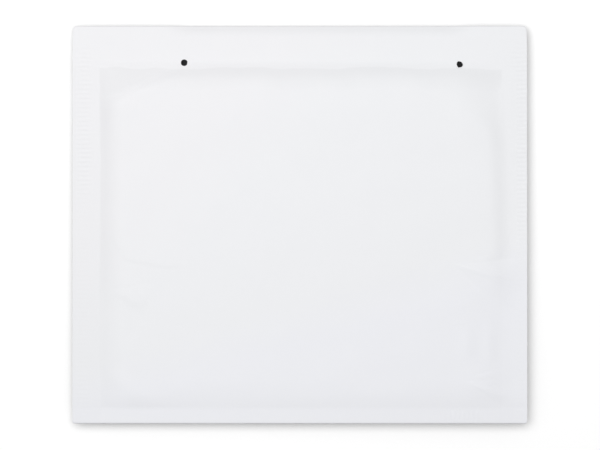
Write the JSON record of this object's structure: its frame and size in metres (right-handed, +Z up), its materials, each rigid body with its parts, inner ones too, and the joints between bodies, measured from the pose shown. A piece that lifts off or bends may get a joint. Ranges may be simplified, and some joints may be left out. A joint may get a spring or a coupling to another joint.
{
  "type": "bubble mailer",
  "caption": "Flat padded paper envelope with crimped side seams, a bubble film lining and a flap folded under, with a sealing strip and its liner.",
  "frame": {"origin": "on the table, under the middle of the mailer's outline", "axes": "+X across the width, +Y up the address side towards the flap's fold, +Z up from the table, out of the address side"},
  "size_m": [0.2, 0.175, 0.0081],
  "materials": {
    "white_paper": "matt white kraft paper, slightly cool",
    "bubble_film": "clear polyethylene bubble film",
    "adhesive": "clear amber hot-melt adhesive",
    "liner_paper": "silicone-coated release paper, pale"
  },
  "bodies": {
    "root": {"paper_envelope": "white_paper", "bubble_lining": "bubble_film", "adhesive_strip": "adhesive", "release_liner": "liner_paper"}
  },
  "joints": []
}
